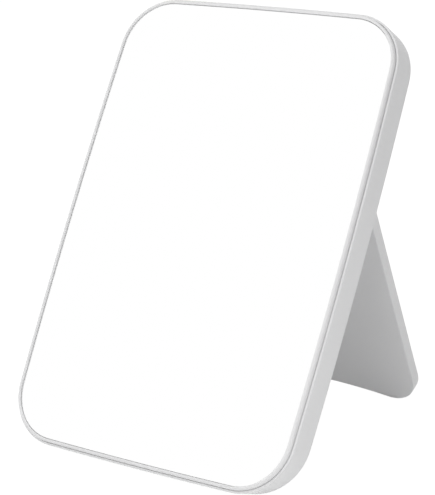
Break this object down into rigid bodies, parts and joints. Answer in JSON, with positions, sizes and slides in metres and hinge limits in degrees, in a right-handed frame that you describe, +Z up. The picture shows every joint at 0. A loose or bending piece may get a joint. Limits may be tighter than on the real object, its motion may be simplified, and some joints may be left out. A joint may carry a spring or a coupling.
{
  "type": "locker mirror",
  "caption": "Rounded-rectangle mirror in a white moulded frame that hangs by hidden magnets or stands on a fold-out rear stand plate.",
  "frame": {"origin": "middle of the flat underside of the frame's foot strip, on the table", "axes": "+Z up from the table, -Y to the front, where the leaned mirror faces, +X to the right as seen from behind the stand's hinge line looking along +Y"},
  "size_m": [0.14, 0.1471, 0.1811],
  "materials": {
    "bezel_plastic": "satin white moulding",
    "shell_plastic": "satin white moulding",
    "stand_plastic": "satin white moulding",
    "cap_plastic": "plain white moulding",
    "mirror_glass": "silvered float glass",
    "foam_tape": "black foam tape",
    "screw_steel": "zinc plated",
    "magnet_nickel": "nickel plated",
    "keeper_steel": "plain steel",
    "pin_steel": "ground steel",
    "washer_plastic": "natural nylon",
    "foot_rubber": "pale soft rubber"
  },
  "bodies": {
    "frame": {"front_bezel": "bezel_plastic", "mirror_glass": "mirror_glass", "foam_tape_strips": "foam_tape", "rear_shell": "shell_plastic", "shell_screws": "screw_steel", "upper_magnet_left": "magnet_nickel", "upper_magnet_right": "magnet_nickel", "upper_keeper_left": "keeper_steel", "upper_keeper_right": "keeper_steel", "magnet_cap_left": "cap_plastic", "magnet_cap_right": "cap_plastic", "hinge_pin_left": "pin_steel", "hinge_pin_right": "pin_steel", "friction_washer_left": "washer_plastic", "friction_washer_right": "washer_plastic", "frame_foot_strip": "foot_rubber"},
    "stand": {"stand_panel": "stand_plastic", "stand_cover": "stand_plastic", "stand_screws": "screw_steel", "stand_magnet_left": "magnet_nickel", "stand_magnet_right": "magnet_nickel", "stand_keeper_left": "keeper_steel", "stand_keeper_right": "keeper_steel", "stand_foot_pads": "foot_rubber"}
  },
  "joints": [
    {"name": "stand_hinge", "type": "hinge", "parent": "frame", "child": "stand", "pos_m": [0, 0.06847, 0.12603], "axis": [1, 0, 0], "range_deg": [-56.25, 0]}
  ]
}
